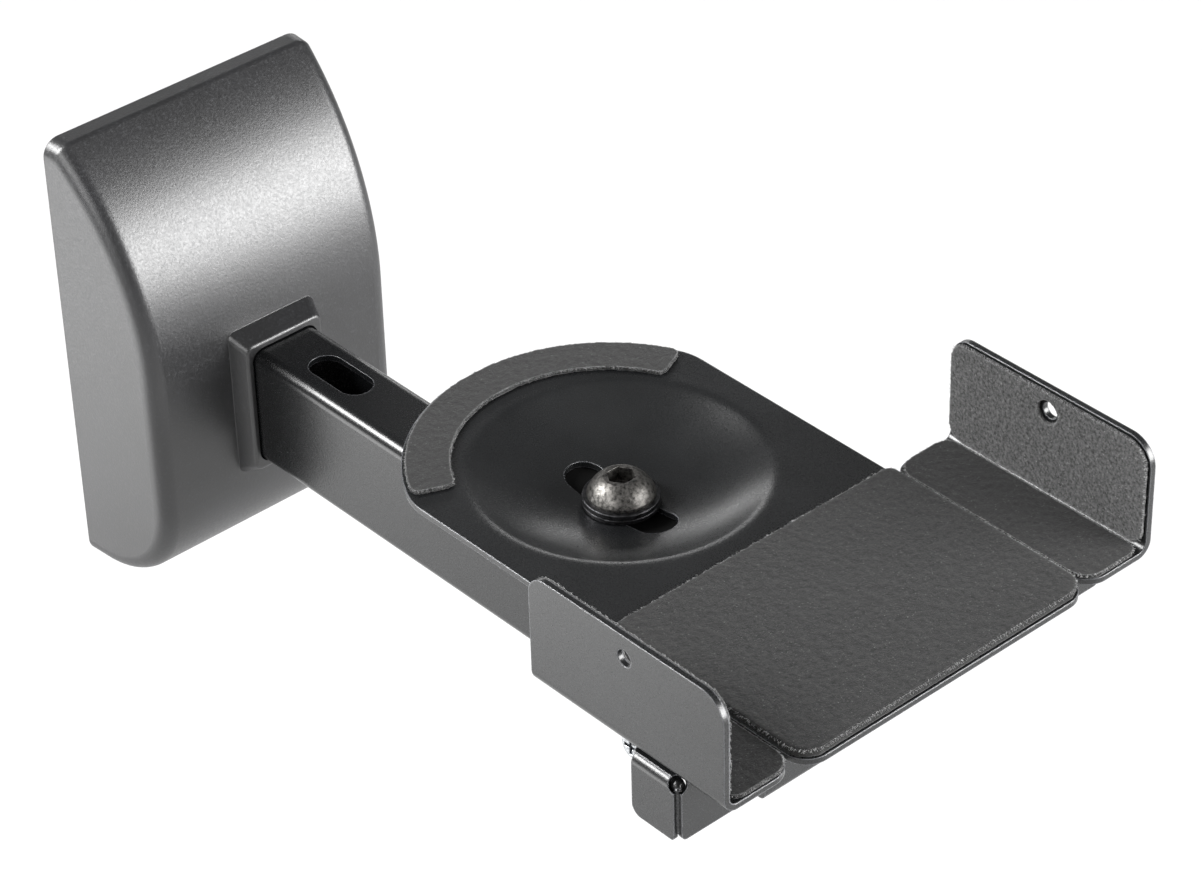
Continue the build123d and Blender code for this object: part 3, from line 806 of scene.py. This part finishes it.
def beadMesh(name, sign):
    x, y = cornerWeld["place"]
    low, high = cornerWeld["low"], cornerWeld["high"]
    around, rows = cornerWeld["around"], cornerWeld["rows"]
    verts = []
    for j in range(rows + 1):
        z = low + (high - low) * j / rows
        ripple = math.sin(2 * math.pi * (z - low) * perMm(cornerWeld["rippleMm"]))
        taper = math.sqrt(max(0.0, 1 - abs(2 * j / rows - 1) ** cornerWeld["blunt"]))
        for k in range(around):
            turn = 2 * math.pi * k / around
            spot = Vector((math.cos(turn), math.sin(turn), z * perMm(cornerWeld["lumpMm"])))
            swell = 1 + cornerWeld["rippleShare"] * ripple
            swell += cornerWeld["lumpShare"] * noise.noise(spot)
            r = cornerWeld["radius"] * taper * swell
            verts.append((sign * (x + r * math.cos(turn)), y + r * math.sin(turn), z))
    faces = []
    for j in range(rows):
        for k in range(around):
            m = (k + 1) % around
            one, two = j * around, (j + 1) * around
            faces.append((one + k, one + m, two + m, two + k))
    mesh = bpy.data.meshes.new(name)
    mesh.from_pydata(verts, [], faces)
    return mesh


def cornerBead(side, sign):
    name = side + "CornerWeld"
    mesh = beadMesh(name, sign)
    bm = bmesh.new()
    bm.from_mesh(mesh)
    x, y, z = cornerWeld["blobPlace"]
    blob = bmesh.ops.create_icosphere(bm, subdivisions=4, radius=cornerWeld["blobRadius"])
    for v in blob["verts"]:
        lump = noise.noise(v.co * perMm(cornerWeld["blobLumpMm"]))
        v.co *= 1 + cornerWeld["blobLumpShare"] * lump
        v.co += Vector((sign * x, y, z))
    bmesh.ops.remove_doubles(bm, verts=bm.verts, dist=tinyGap)
    bmesh.ops.recalc_face_normals(bm, faces=bm.faces)
    for f in bm.faces:
        f.smooth = True
    bm.to_mesh(mesh)
    bm.free()
    bead = addObject(name, mesh)
    mesh.materials.append(sheetFinish)
    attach(bead, side + "_clamp")


for side, sign in sides:
    trimmedSlider(side, sign)
    cornerBead(side, sign)
print("slider ends made")


# Clamp screws: M5 pan heads with a cross recess and rolled threads

clampScrew = {
    "headHeight": 0.0050,
    "proud": 0.0018,         # the head stands this much further out than in the solid
    "headRadius": 0.005,
    "headRound": 0.0022,
    "roundSteps": 8,
    "seatEdge": 0.0002,
    "seatShare": 0.7,
    "shaft": 0.0025,
    "threadDepth": 0.00045,
    "pitch": 0.0008,
    "valleyEnd": 0.12,       # shares of one pitch
    "crestStart": 0.5,
    "crestEnd": 0.62,
    "tip": 0.0008,
    "recessWidth": 0.0012,
    "recessLength": 0.0054,
    "recessDepth": 0.0020,
    "around": 40,
    "mergeGap": 0.000004,
}


def headProfile(values):
    seat, edge = values["seatEdge"], values["headRadius"]
    profile = [(0.0, values["shaft"] * values["seatShare"]), (0.0, edge - seat), (seat, edge)]
    straight = values["headHeight"] - values["headRound"]
    for i in range(values["roundSteps"] + 1):
        turn = math.pi / 2 * i / values["roundSteps"]
        profile.append((
            straight + values["headRound"] * math.sin(turn),
            values["headRadius"] - values["headRound"] * (1 - math.cos(turn)),
        ))
    return profile


def panHead(values):
    bm = bmesh.new()
    around = values["around"]
    turns = [2 * math.pi * k / around for k in range(around)]
    rings = []
    for x, r in headProfile(values):
        rings.append([bm.verts.new((x, r * math.cos(t), r * math.sin(t))) for t in turns])
    rings.append([bm.verts.new((values["headHeight"], 0, 0))])
    rings.insert(0, [bm.verts.new((0.0, 0, 0))])
    for one, two in zip(rings, rings[1:]):
        for k in range(around):
            m = (k + 1) % around
            if len(one) == 1:
                bm.faces.new((one[0], two[m], two[k]))
            elif len(two) == 1:
                bm.faces.new((one[k], one[m], two[0]))
            else:
                bm.faces.new((one[k], one[m], two[m], two[k]))
    bmesh.ops.recalc_face_normals(bm, faces=bm.faces)
    head = bpy.data.meshes.new("screwHead")
    bm.to_mesh(head)
    bm.free()
    return head


def crossCutter(values):
    long, narrow = values["recessLength"], values["recessWidth"]
    place = Matrix.Translation((values["headHeight"], 0, 0))
    cut = bmesh.new()
    for wide, tall in ((long, narrow), (narrow, long)):
        size = Matrix.Diagonal((2 * values["recessDepth"], wide, tall, 1))
        bmesh.ops.create_cube(cut, size=1, matrix=place @ size)
    cutMesh = bpy.data.meshes.new("screwRecess")
    cut.to_mesh(cutMesh)
    cut.free()
    return cutMesh


def recessedHead(values):
    head = addObject("screwHead", panHead(values))
    cutter = addObject("screwRecess", crossCutter(values))
    carve = head.modifiers.new("recess", "BOOLEAN")
    carve.object = cutter
    carve.operation = "DIFFERENCE"
    carve.solver = "EXACT"
    carve.use_self = True
    ready = head.evaluated_get(bpy.context.evaluated_depsgraph_get())
    mesh = bpy.data.meshes.new_from_object(ready)
    bpy.data.objects.remove(head)
    bpy.data.objects.remove(cutter)
    return mesh


def screwMesh(values, length):
    # Built along +X with the head's seat at the origin
    bm = bmesh.new()
    bm.from_mesh(recessedHead(values))
    # The thread is a V that climbs one pitch each turn
    around = values["around"]
    crest, valley = values["shaft"], values["shaft"] - values["threadDepth"]
    shape = ((0.0, valley), (values["valleyEnd"], valley),
             (values["crestStart"], crest), (values["crestEnd"], crest))
    rows = []
    for j in range(-1, int(length / values["pitch"]) + 2):
        for share, radius in shape:
            row = []
            for k in range(around + 1):
                turn = 2 * math.pi * k / around
                x = (j + share + k / around) * values["pitch"]
                x = min(max(x, 0.0), length)
                taper = max(0.0, x - (length - values["tip"]))
                r = min(radius, values["shaft"] - taper)
                row.append(bm.verts.new((-x, r * math.cos(turn), r * math.sin(turn))))
            rows.append(row)
    for one, two in zip(rows, rows[1:]):
        for k in range(around):
            bm.faces.new((one[k], one[k + 1], two[k + 1], two[k]))
    bmesh.ops.remove_doubles(bm, verts=bm.verts, dist=values["mergeGap"])
    tipEdges = [
        e for e in bm.edges
        if e.is_boundary and all(abs(v.co.x + length) < tinyGap for v in e.verts)]
    if tipEdges:
        bmesh.ops.holes_fill(bm, edges=tipEdges)
    bmesh.ops.recalc_face_normals(bm, faces=bm.faces)
    done = bpy.data.meshes.new("clampScrewMesh")
    bm.to_mesh(done)
    bm.free()
    return done


for side, sign in sides:
    low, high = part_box(side + "_clamp_screw")
    proud, headHeight = clampScrew["proud"], clampScrew["headHeight"]
    outer = (high.x if sign > 0 else low.x) + sign * proud
    seat = (outer - sign * headHeight, (low.y + high.y) / 2, (low.z + high.z) / 2)
    mesh = screwMesh(clampScrew, high.x - low.x + proud - headHeight)
    facing = Matrix.Rotation(0 if sign > 0 else math.pi, 4, "Z")
    mesh.transform(Matrix.Translation(seat) @ facing)
    screw = addObject(side + "ScrewThreaded", mesh)
    mesh.materials.append(screwZinc)
    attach(screw, side + "_clamp_screw")
    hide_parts(side + "_clamp_screw")
print("clamp screws made")


# Floor, world and lamps

studio = {
    "floorDrop": 0.42,       # below the wall cover's foot
    "floorHalf": 7,
    "floorColour": "#f4f4f4",
    "floorGlow": 0.85,       # seen directly or mirrored, so that the ground is plain white
    "skyLow": 0.30,          # the room near the floor
    "skyHigh": 0.20,         # the dimmer room above
    "skySpan": (0.12, 0.42),
    "middle": (0, -0.18, 0.02),
}

# Towards each box from the middle, its distance, width, height and power
softBoxes = {
    "keySoftBox": ((0.57, -0.80, 0.24), 1.7, 1.3, 0.9, 74),
    "sideSoftBox": ((-0.66, 0.46, -0.42), 0.95, 0.9, 0.6, 5.5),
    "leftSoftBox": ((-0.90, -0.10, 0.42), 1.5, 0.8, 0.8, 10.5),
    "backSoftBox": ((-0.57, 0.58, 0.58), 1.6, 0.7, 0.6, 44),
    "rimSoftBox": ((0.56, 0.80, 0.20), 1.9, 1.3, 0.30, 4.5),
    "topSoftBox": ((0.1, -0.2, 1.0), 1.8, 1.4, 1.4, 1.0),
}


def floorMaterial():
    # Matt paper under the lamps, and an even glow for the camera and for mirrored rays
    mat, tree = newMaterial("matFloorPaper")
    rays = addNode(tree, "ShaderNodeLightPath").outputs
    seen = calc(tree, "MAXIMUM", rays["Is Camera Ray"], rays["Is Glossy Ray"])
    seen = calc(tree, "MAXIMUM", seen, rays["Is Transmission Ray"])
    share = calc(tree, "MULTIPLY", seen, studio["floorGlow"])
    paper = addNode(tree, "ShaderNodeBsdfDiffuse", inputs={
        "Color": toLinear(studio["floorColour"])})
    glow = addNode(tree, "ShaderNodeEmission", inputs={"Color": (1, 1, 1, 1), "Strength": 1.0})
    mixed = addNode(tree, "ShaderNodeMixShader", inputs={
        0: share, 1: paper.outputs[0], 2: glow.outputs[0]})
    addNode(tree, "ShaderNodeOutputMaterial", inputs={"Surface": mixed.outputs[0]})
    return mat


def studioWorld():
    world = bpy.data.worlds.new("studioRoom")
    world.use_nodes = True
    tree = world.node_tree
    tree.nodes.clear()
    direction = addNode(tree, "ShaderNodeTexCoord").outputs["Generated"]
    height = addNode(tree, "ShaderNodeSeparateXYZ", inputs={0: direction}).outputs["Z"]
    wallGlow = ramp(tree, height, studio["skySpan"], (studio["skyLow"], studio["skyHigh"]),
                    {"interpolation_type": "SMOOTHSTEP"})
    sky, backdrop = [addNode(tree, "ShaderNodeBackground", inputs={
        "Color": (1, 1, 1, 1), "Strength": strength}).outputs[0] for strength in (wallGlow, 1.0)]
    seen = addNode(tree, "ShaderNodeLightPath").outputs["Is Camera Ray"]
    mixed = addNode(tree, "ShaderNodeMixShader", inputs={0: seen, 1: sky, 2: backdrop})
    addNode(tree, "ShaderNodeOutputWorld", inputs={"Surface": mixed.outputs[0]})
    return world


def softBox(name, towards, distance, width, height, power):
    data = bpy.data.lights.new(name, "AREA")
    data.shape = "RECTANGLE"
    data.size = width
    data.size_y = height
    data.energy = power
    lamp = addObject(name, data)
    middle = Vector(studio["middle"])
    lamp.location = middle + Vector(towards).normalized() * distance
    lamp.rotation_euler = (lamp.location - middle).to_track_quat("Z", "Y").to_euler()
    lamp.visible_camera = False


floorLevel = cadBox[0].z - studio["floorDrop"]
half = studio["floorHalf"]
floorMesh = bpy.data.meshes.new("paleFloor")
floorMesh.from_pydata(
    [(x * half, y * half, floorLevel) for x, y in ((-1, -1), (1, -1), (1, 1), (-1, 1))],
    [], [(0, 1, 2, 3)])
floor = addObject("paleFloor", floorMesh)
floorMesh.materials.append(floorMaterial())
bpy.context.scene.world = studioWorld()
for name, box in softBoxes.items():
    softBox(name, *box)
print("studio set")
